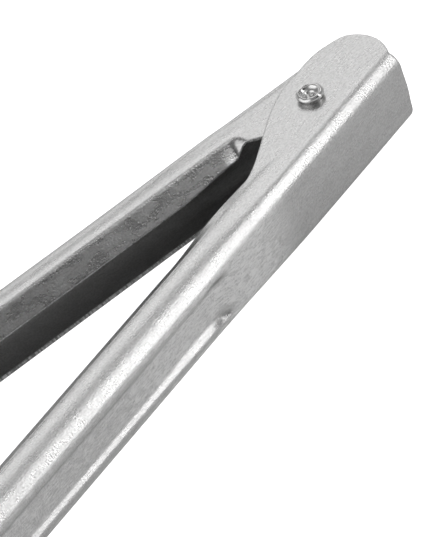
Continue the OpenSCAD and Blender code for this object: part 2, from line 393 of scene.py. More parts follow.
def edge_height(arm, s):
    """Height of the free edge: a quarter ellipse at the hinge end, then an S-curve down to the channel."""
    past = NOSE_CORNER - square_end(arm) - s
    rise = 1 - np.sqrt(np.clip(1 - (np.clip(past, 0, None) / NOSE_CORNER) ** 2, 0, 1))
    corner = -arm.ear_top + NOSE_CORNER_DEPTH * rise
    return np.where(past > 0, corner, mix(-arm.ear_top, arm.edge_low, ease(arm.edge_from, arm.edge_to, s)))


def hinge_section(d, arm, s, u):
    """Flat-backed channel: a straight side for u to 5, a quarter circle to 11, and a crowned back to 15."""
    h = half_width(arm, s)
    cn, cz = arm.hinge_back - arm.hinge_r, h - arm.hinge_r
    side = mix(edge_height(arm, s), cn, u / 5), h
    corner = arc(cn, cz, arm.hinge_r, np.radians(15) * (u - 5))
    back = arm.hinge_back + d.hinge_crown * ease(11, 15, u), cz * (15 - u) / 4
    return pick([u < 5, u < 11], [side, corner, back])


def grip_section(d, arm, s, u):
    """Lipped half-round channel with a groove down its back.

    u to 3 is the lip, a straight flange that leans in by the lean angle; to 7 the side arc; to 11 the
    tighter shoulder arc; to 15 the groove, an eased step down from the shoulder to a flat floor, deeper
    by a bell curve near its start. The fold between lip and side is a quadratic curve, u 2.7 to 3.3.
    """
    h = half_width(arm, s)
    turned = ease(arm.lean_from, arm.lean_to, s)
    lean = turned * (d.lip_lean + arm.curl * (1 - ease(arm.lean_to, arm.lean_to + 5, s)))
    ear = np.maximum(SHORTEST_EAR, arm.grip_centre - d.fold_drop - edge_height(arm, s))
    lip = (mix(ear, arm.lip_first, ease(arm.lip_from, arm.lip_to, s))
           + (d.lip_length - arm.lip_first) * ease(arm.lip_to, arm.lip_full, s))
    turn_in = np.arcsin(d.fold_drop / d.side_r)
    fold = arm.grip_centre - d.fold_drop, h - d.side_r * (1 - np.cos(turn_in))
    cn, cz = arm.grip_centre, h - d.side_r

    def flange(u):
        return fold[0] - lip * (1 - u / 3) * np.cos(lean), fold[1] - lip * (1 - u / 3) * np.sin(lean)

    def side(u):
        return arc(cn, cz, d.side_r, mix(-turn_in, d.shoulder_start, (u - 3) / 4))

    b = (u - 2.7) / 0.6
    before, after = flange(2.7), side(3.3)
    bend = tuple((1 - b) ** 2 * before[k] + 2 * b * (1 - b) * fold[k] + b * b * after[k] for k in (0, 1))
    sn, sz = arc(cn, cz, d.side_r - d.shoulder_r, d.shoulder_start)
    shoulder = arc(sn, sz, d.shoulder_r, mix(d.shoulder_start, np.pi / 2, (u - 7) / 4))
    run_out = ease(jaw_start(d) - GROOVE_RUN_OUT, jaw_start(d), s)
    depth = d.groove_depth * ease(GROOVE_START, GROOVE_FULL, s) * (1 - run_out)
    depth = depth * (1 + GROOVE_DEEPENING * np.exp(-((s - GROOVE_DEEPEST) / GROOVE_DEEP_SPREAD) ** 2))
    run = (u - 11) / 4
    groove = sn + d.shoulder_r - depth * ease(*GROOVE_WALL, run), sz * (1 - run)
    return pick([u < 2.7, u < 3.3, u < 7, u < 11], [flange(u), bend, side(u), shoulder, groove])


def jaw_section(d, arm, s, u):
    """Cupped jaw: a quarter ellipse from a scalloped edge to the back, narrowing to a round end."""
    full = mix(arm.grip_half, d.jaw_half, ease(jaw_start(d), d.tip - d.jaw_length / 2, s))
    end = np.clip((s - (d.tip - JAW_TIP)) / JAW_TIP, 0, 1)
    w = full * np.sqrt(np.maximum(0.06, 1 - end * end))
    run = np.clip((s - (d.tip - d.jaw_length)) / (d.jaw_length - 6), 0, 1)
    scallop = d.scallop_height * (0.5 - 0.5 * np.cos(2 * np.pi * d.scallops * run)) * ease(0, 0.06, run)
    edge = JAW_PARTING - s * np.sin(d.closed_angle / 2) + d.sheet
    v = u / 15
    n = edge + scallop * (1 - v) ** 2 + d.jaw_depth * w / d.jaw_half * np.sin(v * np.pi / 2)
    return n, w * np.cos(v * np.pi / 2)


def arm_section(d, arm, s, u):
    """The (n, z) of one half of an arm's outside: hinge section into grip section into jaw."""
    hinge, grip, jaw = (section(d, arm, s, u) for section in (hinge_section, grip_section, jaw_section))
    lip_blend = ease(arm.lip_from - 8, arm.lip_from + 2, s)
    w = mix(lip_blend, ease(22, 72, s), ease(3, 6, u))
    into_jaw = ease(jaw_start(d), d.tip - d.jaw_length + JAW_SETTLE, s)
    return tuple(mix(mix(hinge[k], grip[k], w), jaw[k], into_jaw) for k in (0, 1))


def dimples(s, u, z):
    """Two tool marks, one each side of the groove's start: bell-shaped dents drawn out along the arm."""
    along, across = (s - DENT_AT) / DENT_LONG, (np.abs(z) - DENT_OFFSET) / DENT_WIDE
    return np.exp(-along ** 2 - across ** 2) * (u > 7)


def wear_and_dent_shade(s, u, dents):
    """How scuffed the back is: full just past the hinge, fading along the grip, less on the groove's
    walls, and below 0 in the dents.

    It is a product of eased ramps along and across the arm, times one less the dents, less DENT_WEAR
    times the dents.
    """
    along = ease(*WEAR_RISE, s) * (1 - WEAR_LOST * ease(*WEAR_FADE, s))
    walls = ease(*WALL_START, s) * ease(9.5, 11, u) * (1 - ease(12, 13, u))
    return along * ease(7.5, 10, u) * (1 - WALL_WEAR_LOST * walls) * (1 - dents) - DENT_PAINTED_SHADE_WEIGHT * dents


# ---------------------------------------------------------------- meshes

UV_NAME = "Along and around"
HOLE_SIDES = 64


def border_steps(count, finest, growth):
    """Distances from a border that grow by a constant factor, so that its rounding has enough rows."""
    return finest * (growth ** np.arange(count) - 1) / (growth - 1)


def arm_grid(d, arm):
    """Stations s along an arm and columns u across half its section, closer together near the edges."""
    start = -square_end(arm)
    rim = border_steps(5, 0.05, 1.9)
    s = np.concatenate([start + rim, np.arange(start + 1, 90, 0.8), np.arange(90, 205, 2.4),
                        np.arange(205, d.tip - 1.2, 0.8), d.tip - rim[::-1]])
    u = np.concatenate([rim / 2.3, np.arange(0.5, 2.6, 0.3), np.arange(2.7, 3.31, 0.1),
                        np.arange(3.5, 15.01, 0.25)])
    return s[:, None], u[None, :]


def joined(*parts):
    """The arrays side by side along a new last axis, each stretched to one shape."""
    return np.stack(np.broadcast_arrays(*parts), axis=-1)


def unit(v):
    """Each vector at length 1."""
    return v / np.linalg.norm(v, axis=-1, keepdims=True)


def along_rows(points):
    """Distance walked from the first row to each, down every column."""
    steps = np.linalg.norm(np.diff(points, axis=0), axis=-1)
    return np.concatenate([np.zeros((1, *steps.shape[1:])), np.cumsum(steps, axis=0)])


def grid_faces(rows, columns, first=0, closed=False):
    """Quads between neighbouring rows and columns of a grid; closed joins the last column to the first."""
    at = first + np.arange(rows * columns).reshape(rows, columns)
    if closed:
        at = np.concatenate([at, at[:, :1]], axis=1)
    return joined(at[:-1, :-1], at[1:, :-1], at[1:, 1:], at[:-1, 1:]).reshape(-1, 4)


def border_loop(rows, columns):
    """Indices round a grid's border, in order."""
    at = np.arange(rows * columns).reshape(rows, columns)
    return np.concatenate([at[0, :-1], at[:-1, -1], at[-1, :0:-1], at[:0:-1, 0]])


def make_mesh(name, vertices, faces, uv, material_index, materials):
    """A smooth mesh object at the origin from arrays in metres, with a UV for every vertex."""
    mesh = bpy.data.meshes.new(name)
    mesh.from_pydata(vertices, [], faces.tolist() if isinstance(faces, np.ndarray) else faces)
    loops = np.empty(len(mesh.loops), np.int32)
    mesh.loops.foreach_get("vertex_index", loops)
    mesh.uv_layers.new(name=UV_NAME).data.foreach_set("uv", uv[loops].astype(np.float32).ravel())
    mesh.polygons.foreach_set("use_smooth", np.ones(len(mesh.polygons), bool))
    mesh.polygons.foreach_set("material_index", np.asarray(material_index, np.int32))
    for material in materials:
        mesh.materials.append(material)
    mesh.validate()
    mesh.update()
    piece = bpy.data.objects.new(name, mesh)
    bpy.context.scene.collection.objects.link(piece)
    return piece


def to_frame(points, angle, side):
    """An arm's own (t, n, z) in millimetres, turned by half the opening about the pivot, in metres.

    x = t cos a - n sin a, y = side (t sin a + n cos a), and side -1 mirrors the inner arm.
    """
    t, n, z = np.moveaxis(np.asarray(points, float), -1, 0)
    x, y = t * np.cos(angle) - n * np.sin(angle), side * (t * np.sin(angle) + n * np.cos(angle))
    return joined(x, y, z) * MM + np.array(PIVOT)


def arm_outside(d, arm):
    """The arm's outside as a grid of (t, n, z), from one free edge over the back to the other.

    The end bows out into a nose: a parabola over n, 1 less the square of (n - 1)/9, eased in over 13 mm.
    """
    s, u = arm_grid(d, arm)
    n, z = arm_section(d, arm, s, u)
    s = np.broadcast_to(s, n.shape)
    n, z, s, u = (np.concatenate([a, sign * a[:, -2::-1]], axis=1)
                  for a, sign in ((n, 1), (z, -1), (s, 1), (np.broadcast_to(u, n.shape), 1)))
    nose = NOSE * np.clip(1 - ((n - 1) / 9) ** 2, 0, None) * ease(square_end(arm) - 13, square_end(arm), -s)
    return joined(s - nose, n, z), s, u


def pressed_arm(name, arm, side, materials):
    """One pressed arm: its outside, its inside one sheet thickness in, and the rounded cut edge between.

    Near the cut edge the half thickness is sheet/2 - r + sqrt(r^2 - (r - distance)^2), which rounds it.
    """
    d = shared_sizes()
    outside, s, u = arm_outside(d, arm)
    rows, columns = s.shape
    normal = unit(np.cross(np.gradient(outside, axis=0), np.gradient(outside, axis=1)))
    across, along = along_rows(outside.transpose(1, 0, 2)).T, along_rows(outside)
    dents = dimples(s, u, outside[..., 2])
    outside = outside - normal * (d.dimple_depth * dents)[..., None]
    border = np.minimum(np.minimum(across, across[:, -1:] - across), np.minimum(along, along[-1:] - along))
    r = d.edge_round
    half = d.sheet / 2 - r + np.sqrt(r * r - np.clip(r - border, 0, None) ** 2)
    skins = [outside - normal * (d.sheet / 2 + k * half)[..., None] for k in (-1, 1)]
    vertices = to_frame(np.concatenate([skin.reshape(-1, 3) for skin in skins]), d.open_angle / 2, side)
    count = rows * columns
    outer, inner = grid_faces(rows, columns), grid_faces(rows, columns, count)[:, ::-1]
    loop = border_loop(rows, columns)
    ahead = np.roll(loop, -1)
    rim = joined(loop, loop + count, ahead + count, ahead)
    faces = np.concatenate([outer, inner, rim])
    if side < 0:
        faces = faces[:, ::-1]
    slots = np.where(border.ravel() < r, 2, 0)
    cut = slots[outer].min(axis=1)
    # Inside faces take the dull inside, whose darker colour is partly painted shade.
    index = np.concatenate([cut, np.where(cut == 2, 2, 1), np.full(len(rim), 2)])
    flat = joined(s, across - across[:, columns // 2][:, None]).reshape(-1, 2) / d.arm_length
    piece = make_mesh(name, vertices, faces, np.concatenate([flat, flat]) + 0.5, index, materials)
    # Wear above 0 is scuffing; below 0, in the dents, it is painted shade.
    worn_and_dent_shaded = np.concatenate([wear_and_dent_shade(s, u, dents).ravel(), np.zeros(count)])
    piece.data.attributes.new("Wear", "FLOAT", "POINT").data.foreach_set("value", worn_and_dent_shaded.astype(np.float32))
    drill(piece, d.pin_d / 2 * MM, 2 * d.half_w * MM)
    return piece


def drill(piece, radius, depth):
    """Cuts the pin hole through both ears with an exact Boolean, and applies it."""
    turn = np.linspace(0, 2 * np.pi, HOLE_SIDES, endpoint=False)
    ring = joined(radius * np.cos(turn), radius * np.sin(turn), 0) + np.array(PIVOT)
    offset = np.array([0, 0, depth])
    side = grid_faces(2, HOLE_SIDES, closed=True).tolist()
    caps = [list(range(HOLE_SIDES))[::-1], list(range(HOLE_SIDES, 2 * HOLE_SIDES))]
    faces = [f[::-1] for f in side] + caps
    cutter = make_mesh("pin_cutter", np.concatenate([ring - offset, ring + offset]), faces,
                       np.zeros((2 * HOLE_SIDES, 2)), np.zeros(len(faces)), [])
    cut = piece.modifiers.new("Pin hole", "BOOLEAN")
    cut.operation, cut.solver, cut.object = "DIFFERENCE", "EXACT", cutter
    drilled = bpy.data.meshes.new_from_object(piece.evaluated_get(bpy.context.evaluated_depsgraph_get()))
    piece.modifiers.clear()
    piece.data = drilled
    drilled.name = piece.name
    bpy.data.objects.remove(cutter)


def turned_piece(name, profile, segments, wobble, material):
    """A profile of (radius, height) in millimetres turned about the rivet's axis; its ends lie on the axis.

    wobble(radius, height, angle) is added to the height.
    """
    turn = np.linspace(0, 2 * np.pi, segments, endpoint=False)[None, :]
    ring = profile[1:-1]
    radius, height = ring[:, :1], ring[:, 1:2] + wobble(ring[:, :1], ring[:, 1:2], turn)
    body = joined(radius * np.cos(turn), radius * np.sin(turn), height).reshape(-1, 3)
    ends = np.array([[0, 0, profile[0, 1]], [0, 0, profile[-1, 1]]])
    vertices = np.concatenate([body, ends]) * MM + np.array(PIVOT)
    rows = len(ring)
    at = np.arange(segments)
    ahead = np.roll(at, -1)
    low = joined(len(body), ahead, at)
    top = (rows - 1) * segments
    high = joined(len(body) + 1, top + at, top + ahead)
    faces = grid_faces(rows, segments, closed=True)[:, ::-1].tolist() + low.tolist() + high.tolist()
    walked = along_rows(ring) / 50
    uv = joined(turn / (2 * np.pi), walked[:, None]).reshape(-1, 2)
    uv = np.concatenate([uv, [[0.5, 0], [0.5, walked[-1]]]])
    return make_mesh(name, vertices, faces, uv, np.zeros(len(faces)), [material])


def swept_wire(name, centre, radius, sides, material):
    """A round wire along centre: rings square to the path, their first direction square to z as well."""
    tangent = unit(np.gradient(centre, axis=0))
    across = unit(np.cross([0, 0, 1], tangent))
    third = np.cross(tangent, across)
    turn = np.linspace(0, 2 * np.pi, sides, endpoint=False)[None, :, None]
    # The ends are rounded over by a last short ring.
    scale = np.ones(len(centre))
    scale[[0, -1]] = 0.6
    rings = centre[:, None] + radius * scale[:, None, None] * (across[:, None] * np.cos(turn)
                                                              + third[:, None] * np.sin(turn))
    vertices = rings.reshape(-1, 3) * MM + np.array(PIVOT)
    last = (len(centre) - 1) * sides
    caps = [list(range(sides)), list(range(last + sides - 1, last - 1, -1))]
    faces = grid_faces(len(centre), sides, closed=True).tolist() + caps
    walked = along_rows(centre) / 400
    uv = joined(walked[:, None], np.linspace(0, 0.05, sides)).reshape(-1, 2)
    return make_mesh(name, vertices, faces, uv, np.zeros(len(faces)), [material])


# ---------------------------------------------------------------- shader building

def place(tree, kind, settings=None, *values, **named):
    """Adds a node, applies its settings, and sets or links its inputs by order or by name."""
    item = tree.nodes.new("ShaderNode" + kind)
    for key, value in (settings or {}).items():
        setattr(item, key, value)
    pairs = list(zip(item.inputs, values)) + [(item.inputs[k.replace("_", " ")], v) for k, v in named.items()]
    for socket, value in pairs:
        if isinstance(value, bpy.types.NodeSocket):
            tree.links.new(value, socket)
        elif value is not None:
            socket.default_value = value
    return item.outputs[0] if item.outputs else item


def calc(tree, operation, *values):
    """A Math node's result."""
    return place(tree, "Math", {"operation": operation}, *values)


def remap(tree, value, from_low, from_high, to_low=0.0, to_high=1.0, smooth=True):
    """Value carried from one range to another and held at its ends."""
    kind = "SMOOTHSTEP" if smooth else "LINEAR"
    return place(tree, "MapRange", {"interpolation_type": kind}, value, from_low, from_high, to_low, to_high)


def mix_colour(tree, factor, a, b):
    """Mix of two colours, or of two sockets."""
    item = tree.nodes.new("ShaderNodeMix")
    item.data_type = "RGBA"
    for socket, value in zip((item.inputs[0], item.inputs[6], item.inputs[7]), (factor, a, b)):
        if isinstance(value, bpy.types.NodeSocket):
            tree.links.new(value, socket)
        else:
            socket.default_value = (*value, 1) if isinstance(value, tuple) else value
    return item.outputs[2]


def new_group(name, inputs, outputs):
    """A shader node group with the named inputs (name, kind, default) and outputs (name, kind)."""
    tree = bpy.data.node_groups.new(name, "ShaderNodeTree")
    for label, kind, default in inputs:
        socket = tree.interface.new_socket(label, in_out="INPUT", socket_type="NodeSocket" + kind)
        if default is not None:
            socket.default_value = default
    for label, kind in outputs:
        tree.interface.new_socket(label, in_out="OUTPUT", socket_type="NodeSocket" + kind)
    return tree, tree.nodes.new("NodeGroupInput").outputs, tree.nodes.new("NodeGroupOutput").inputs


def grain_group():
    """Rolling grain: noise drawn out along the sheet, cloudy patches, and fine sparkle.

    Height is their weighted sum for a Bump node, with Sparkle share as the sparkle's weight. Tone, for
    colour, is 0.35 of the grain, 0.45 of the sparkle and 0.2 of the patches. Patch is the patches alone.
    """
    tree, given, result = new_group(
        "Rolled grain",
        [("Vector", "Vector", None), ("Along", "Float", 60.0), ("Across", "Float", 800.0),
         ("Patches", "Float", 70.0), ("Sparkle", "Float", 700.0), ("Sparkle share", "Float", 0.5)],
        [("Height", "Float"), ("Tone", "Float"), ("Patch", "Float")])
    stretch = place(tree, "CombineXYZ", None, given["Along"], given["Across"], 1.0)
    stretched = place(tree, "VectorMath", {"operation": "MULTIPLY"}, given["Vector"], stretch)
    flat = {"noise_dimensions": "2D"}
    grain = place(tree, "TexNoise", flat, Vector=stretched, Scale=1.0, Detail=3.0, Roughness=0.6)
    patch_stretch = place(tree, "VectorMath", {"operation": "MULTIPLY"}, given["Vector"], (0.45, 1.0, 1.0))
    patch = place(tree, "TexNoise", flat, Vector=patch_stretch, Scale=given["Patches"], Detail=4.0,
                  Roughness=0.55)
    sparkle = place(tree, "TexNoise", flat, Vector=given["Vector"], Scale=given["Sparkle"], Detail=1.5)
    mixed = calc(tree, "MULTIPLY_ADD", sparkle, given["Sparkle share"], grain)
    tree.links.new(calc(tree, "MULTIPLY_ADD", patch, 0.8, mixed), result["Height"])
    fine = calc(tree, "MULTIPLY_ADD", sparkle, 0.45, calc(tree, "MULTIPLY", grain, 0.35))
    tree.links.new(calc(tree, "MULTIPLY_ADD", patch, 0.2, fine), result["Tone"])
    tree.links.new(patch, result["Patch"])


def scratch_group():
    """Handling marks: thin lines where strongly stretched noise passes a threshold, broken up in patches."""
    tree, given, result = new_group(
        "Handling marks",
        [("Vector", "Vector", None), ("Turn", "Float", 0.1), ("Density", "Float", 0.5)],
        [("Mask", "Float")])
    flat = {"noise_dimensions": "2D"}
    turned = place(tree, "VectorRotate", {"rotation_type": "Z_AXIS"}, Vector=given["Vector"],
                   Angle=given["Turn"])
    stretched = place(tree, "VectorMath", {"operation": "MULTIPLY"}, turned, (26.0, 620.0, 1.0))
    lines = place(tree, "TexNoise", flat, Vector=stretched, Scale=1.0, Detail=2.0)
    thin = remap(tree, lines, 0.64, 0.72)
    spread = place(tree, "TexNoise", flat, Vector=given["Vector"], Scale=22.0, Detail=2.0)
    share = calc(tree, "MULTIPLY", given["Density"], 0.3)
    where = remap(tree, calc(tree, "ADD", spread, share), 0.55, 0.75)
    tree.links.new(calc(tree, "MULTIPLY", thin, where), result["Mask"])


def scuff_group():
    """Scuffs: short lengthwise scratches and bright specks where the piece is worn.

    Mask is the wear times cloudy noise times (0.2 plus the scratches plus the specks).
    """
    tree, given, result = new_group("Scuffs", [("Vector", "Vector", None), ("Wear", "Float", 0.0)],
                                    [("Mask", "Float")])
    flat = {"noise_dimensions": "2D"}
    stretched = place(tree, "VectorMath", {"operation": "MULTIPLY"}, given["Vector"], (95.0, 900.0, 1.0))
    lines = place(tree, "TexNoise", flat, Vector=stretched, Scale=1.0, Detail=3.0, Roughness=0.6)
    specks = place(tree, "TexNoise", flat, Vector=given["Vector"], Scale=620.0, Detail=2.0, Roughness=0.6)
    clouds = place(tree, "TexNoise", flat, Vector=given["Vector"], Scale=95.0, Detail=3.0, Roughness=0.6)
    scratches = remap(tree, lines, 0.48, 0.55, 0.0, 0.75)
    marks = calc(tree, "ADD", scratches, remap(tree, specks, 0.49, 0.58, 0.0, 0.6))
    shaded = calc(tree, "MULTIPLY", calc(tree, "ADD", marks, 0.2), remap(tree, clouds, 0.36, 0.54, 0.6, 1.0))
    tree.links.new(calc(tree, "MULTIPLY", shaded, given["Wear"]), result["Mask"])


def use_group(tree, name, **named):
    """Places a group and returns its outputs."""
    item = tree.nodes.new("ShaderNodeGroup")
    item.node_tree = bpy.data.node_groups[name]
    for key, value in named.items():
        socket = item.inputs[key.replace("_", " ")]
        if isinstance(value, bpy.types.NodeSocket):
            tree.links.new(value, socket)
        else:
            socket.default_value = value
    return item.outputs


# How handling marks, scuffs and the painted shade in the dents act on a metal: shares, colours, and the marks' turn in
# radians.
MARK_TURN = 0.08
MARK_SHARE, MARK_SHADE, MARK_DEPTH = 0.35, 0.55, 0.2
SCUFF_COLOUR = 0.96, 0.958, 0.955
SCUFF_ROUGHENS, SCUFF_RAISES, SCUFF_DULLS = 0.12, 0.8, 0.75
# The dents' darker colour is painted shade in the dents, along with a burnished tool mark's darker finish.
DENT_PAINTED_SHADE_TONE, DENT_PAINTED_SHADE_MIX = 0.35, 0.6


def darker(colour, share):
    """The colour with each part scaled down to that share."""
    return tuple(share * c for c in colour)


def pattern(along, across, patches, sparkle, share):
    """Values for the rolled grain group."""
    return dict(Along=along, Across=across, Patches=patches, Sparkle=sparkle, Sparkle_share=share)


def metal(name, tones, rough, rough_spread, bump, grain, marks=0.0, scuffs=0.0, metallic=1.0):
    """A metal with rolled grain and handling marks, in the finish colours whose names start with tones.

    Colour runs from dark to light with the grain's tone, roughness moves about its middle with the
    patches, and both grain and marks press into the surface. Scuffs make it paler, rougher and less
    metallic where the Wear attribute is above 0, and the colour darkens where Wear is below 0.
    """
    finish = bpy.context.scene.tongs_finish
    light, dark = (tuple(getattr(finish, f"{tones}_{end}")) for end in ("light", "dark"))
    material = bpy.data.materials.new(name)
    material.use_nodes = True
    tree = material.node_tree
    tree.nodes.clear()
    uv = place(tree, "UVMap", {"uv_map": UV_NAME})
    grained = use_group(tree, "Rolled grain", Vector=uv, **grain)
    scratched = use_group(tree, "Handling marks", Vector=uv, Turn=MARK_TURN, Density=marks)["Mask"]
    tone = remap(tree, grained["Tone"], 0.36, 0.64)
    base = mix_colour(tree, tone, dark, light)
    base = mix_colour(tree, calc(tree, "MULTIPLY", scratched, MARK_SHARE * min(1, 2 * marks)), base,
                      darker(dark, MARK_SHADE))
    spread = remap(tree, grained["Patch"], 0.3, 0.7, rough - rough_spread, rough + rough_spread)
    pressed = calc(tree, "MULTIPLY", scratched, MARK_DEPTH * marks)
    height = calc(tree, "SUBTRACT", grained["Height"], pressed)
    shader = tree.nodes.new("ShaderNodeBsdfPrincipled")
    shader.inputs["Metallic"].default_value = metallic
    if scuffs:
        worn_and_dent_shaded = place(tree, "Attribute", {"attribute_name": "Wear"}).node.outputs["Fac"]
        rubbed = calc(tree, "MAXIMUM", worn_and_dent_shaded, 0.0)
        scuffed = calc(tree, "MULTIPLY", use_group(tree, "Scuffs", Vector=uv, Wear=rubbed)["Mask"], scuffs)
        base = mix_colour(tree, scuffed, base, SCUFF_COLOUR)
        # Painted shade: where Wear is below 0, in the dents, the colour darkens.
        painted_dent_shade = remap(tree, worn_and_dent_shaded, 0.0, -0.8, 0.0, DENT_PAINTED_SHADE_MIX)
        base = mix_colour(tree, painted_dent_shade, base, darker(dark, DENT_PAINTED_SHADE_TONE))
        spread = calc(tree, "MULTIPLY_ADD", scuffed, SCUFF_ROUGHENS, spread)
        height = calc(tree, "MULTIPLY_ADD", scuffed, SCUFF_RAISES, height)
        tree.links.new(calc(tree, "MULTIPLY_ADD", scuffed, -SCUFF_DULLS, 1.0), shader.inputs["Metallic"])
    normal = place(tree, "Bump", None, Strength=1.0, Distance=bump, Height=height)
    for key, value in (("Base Color", base), ("Roughness", spread), ("Normal", normal)):
        tree.links.new(value, shader.inputs[key])
    end = tree.nodes.new("ShaderNodeOutputMaterial")
    tree.links.new(shader.outputs[0], end.inputs["Surface"])
    return material


SHEET_FINISHES = "Rolled steel", "Dull inside with painted shade", "Sheared edge"


def sheet_materials():
    """Outside, inside and cut edge of the rolled sheet, made once for both arms."""
    if SHEET_FINISHES[0] in bpy.data.materials:
        return [bpy.data.materials[k] for k in SHEET_FINISHES]
    finish = bpy.context.scene.tongs_finish
    outside, inside, edge = SHEET_FINISHES
    return [
        metal(outside, "steel", finish.steel_rough, 0.02, 0.00004, pattern(150.0, 820.0, 110.0, 560.0, 1.0),
              marks=0.25, scuffs=1.35),
        # The inside: a duller, rougher finish, its darker colour also painted shade inside the channel.
        metal(inside, "inside", finish.inside_rough, 0.03, 0.000015, pattern(150.0, 820.0, 110.0, 560.0, 0.5),
              marks=0.3),
        metal(edge, "edge", 0.38, 0.12, 0.00009, pattern(320.0, 320.0, 210.0, 500.0, 0.5), metallic=0.4),
    ]


# ---------------------------------------------------------------- operators

def shared_sizes():
    """Both arms' shared sizes in millimetres, with the distance from the pivot to the jaw tip."""
    d = in_mm(bpy.context.scene.tongs_sheet)
    d.tip = d.arm_length - in_mm(bpy.context.scene.tongs_outer).reach
    return d


class TONGS_OT_outer_arm(bpy.types.Operator):
    """Make the arm whose ears lie outside"""

    bl_idname = "tongs.outer_arm"
    bl_label = "Outer Arm"

    def execute(self, context):
        piece = pressed_arm("outer_arm_steel", in_mm(context.scene.tongs_outer), 1, sheet_materials())
        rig.replaces(piece, "outer_arm")
        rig.slot(piece, "outer_arm_steel")
        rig.ride(piece, "outer")
        return {"FINISHED"}


class TONGS_OT_inner_arm(bpy.types.Operator):
    """Make the arm whose ears nest inside"""

    bl_idname = "tongs.inner_arm"
    bl_label = "Inner Arm"

    def execute(self, context):
        piece = pressed_arm("inner_arm_steel", in_mm(context.scene.tongs_inner), -1, sheet_materials())
        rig.replaces(piece, "inner_arm")
        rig.slot(piece, "inner_arm_steel")
        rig.ride(piece, "inner")
        return {"FINISHED"}


class TONGS_OT_rivet(bpy.types.Operator):
    """Make the semi-tubular rivet"""

    bl_idname = "tongs.rivet"
    bl_label = "Rivet"

    def execute(self, context):
        d = in_mm(context.scene.tongs_rivet)
        ear = in_mm(context.scene.tongs_sheet).half_w
        quarter, rim = np.radians(np.linspace(0, 90, 14)[1:]), np.radians(np.linspace(-60, 90, 24))
        top = ear + d.high_head
        low = joined(d.flat_r + (d.head_r - d.flat_r) * np.sin(quarter),
                     -ear - 0.4 - (d.low_head - 0.4) * np.cos(quarter))
        rise = np.where(rim < 0, d.high_head - 2 * d.rim_r, d.rim_r)
        high = joined(d.head_r - d.rim_r + d.rim_r * np.cos(rim), top - d.rim_r + rise * np.sin(rim))
        dish = joined(d.head_r - d.rim_r - d.dish_r * (1 - np.cos(quarter[:-1])),
                      top - d.dish_r * np.sin(quarter[:-1]))
        foot, floor = -ear - d.low_head, ear - d.tube_depth
        profile = np.concatenate([
            [[0, foot], [d.flat_r * 0.5, foot], [d.flat_r, foot]], low,
            [[d.head_r, -ear], [d.pin_r, -ear], [d.pin_r, ear], [d.head_r - 0.5, ear]], high, dish,
            [[d.tube_r, ear + 0.5], [d.tube_r, floor], [d.tube_r * 0.5, floor - 0.3], [0, floor - 0.4]]])

        def rolled(radius, height, angle):
            """Three shallow waves that the rolling tool leaves on the rim and in the dish."""
            share = ease(ear + 1.2, top, height) * ease(d.tube_r, d.head_r - d.rim_r, radius)
            return -0.09 * share * (1 + np.sin(3 * angle + 0.6)) - 0.05 * share * (1 + np.sin(7 * angle))

        steel = metal("Bright plate", "plate", 0.15, 0.04, 0.000012, pattern(60.0, 160.0, 24.0, 160.0, 0.5),
                      marks=0.2)
        piece = turned_piece("pivot_rivet_steel", profile, 96, rolled, steel)
        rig.replaces(piece, "pivot_rivet")
        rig.slot(piece, "rivet_steel")
        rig.ride(piece, "outer")
        return {"FINISHED"}


class TONGS_OT_spring(bpy.types.Operator):
    """Make the torsion spring round the rivet"""

    bl_idname = "tongs.spring"
    bl_label = "Spring"

    def execute(self, context):
        d = in_mm(context.scene.tongs_spring)
        sheet = in_mm(context.scene.tongs_sheet)
        arms = in_mm(context.scene.tongs_outer), in_mm(context.scene.tongs_inner)
        rise = [a.hinge_back - d.leg_drop - sheet.sheet - d.leg_gap - d.wire_r - d.coil_r for a in arms]
        lean = [sheet.open_angle / 2 + np.arcsin(r / d.leg) for r in rise]
        half = d.pitch * d.turns / 2
        turn = np.linspace(lean[0] + np.pi / 2, 2 * np.pi * d.turns - lean[1] - np.pi / 2, 30 * d.turns)
        coil = joined(d.coil_r * np.cos(turn), d.coil_r * np.sin(turn), np.linspace(-half, half, len(turn)))

        def leg(side, a):
            """A straight leg that leaves the coil at a tangent, from its root to its end."""
            x = np.concatenate([np.linspace(0, d.leg - 0.3, 20)[1:], [d.leg]])
            return joined(x * np.cos(a) - d.coil_r * np.sin(a),
                          side * (x * np.sin(a) + d.coil_r * np.cos(a)), -side * half)

        centre = np.concatenate([leg(1, lean[0])[::-1], coil, leg(-1, lean[1])])
        wire = metal("Spring wire", "wire", 0.3, 0.05, 0.00002, pattern(60.0, 900.0, 60.0, 600.0, 0.3),
                     marks=0.3)
        piece = swept_wire("torsion_spring_wire", centre, d.wire_r, 20, wire)
        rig.replaces(piece, "torsion_spring")
        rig.slot(piece, "spring_wire")
        reach = Vector((0, 0, (half - d.wire_r) * MM))
        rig.blend(piece, "outer", "inner", start=tuple(PIVOT - reach), end=tuple(PIVOT + reach))
        return {"FINISHED"}


# The studio as a reflection sees it. Each patch is (heading in x, y, z), inner and outer radius in
# degrees, and the light it adds, or takes away when below 0.
SKY_HIGH, SKY_LOW = 0.22, 0.5
BACKDROP = 1.1
SKY_PATCHES = [
    ((-0.47, -0.53, 0.705), 9, 21, 1.12),
    ((-0.55, -0.02, 0.835), 6, 24, 0.34),
    ((-0.278, 0.742, 0.61), 9, 26, -0.22),
    ((-0.48, -0.87, 0.02), 6, 20, 0.8),
    ((0.78, -0.08, 0.62), 22, 46, 0.85),
]
KEY_HEADING = Vector((-0.622, 0.52, 0.586)).normalized()
KEY_RISE = Vector((0.093, -0.686, 0.721))
KEY_AIM = Vector((0.06, 0.02, 0))
KEY_DISTANCE, KEY_TALL, KEY_WIDE, KEY_GLOW = 1.3, 1.32, 0.28, 3.0
FLOOR_HALF = 6.0


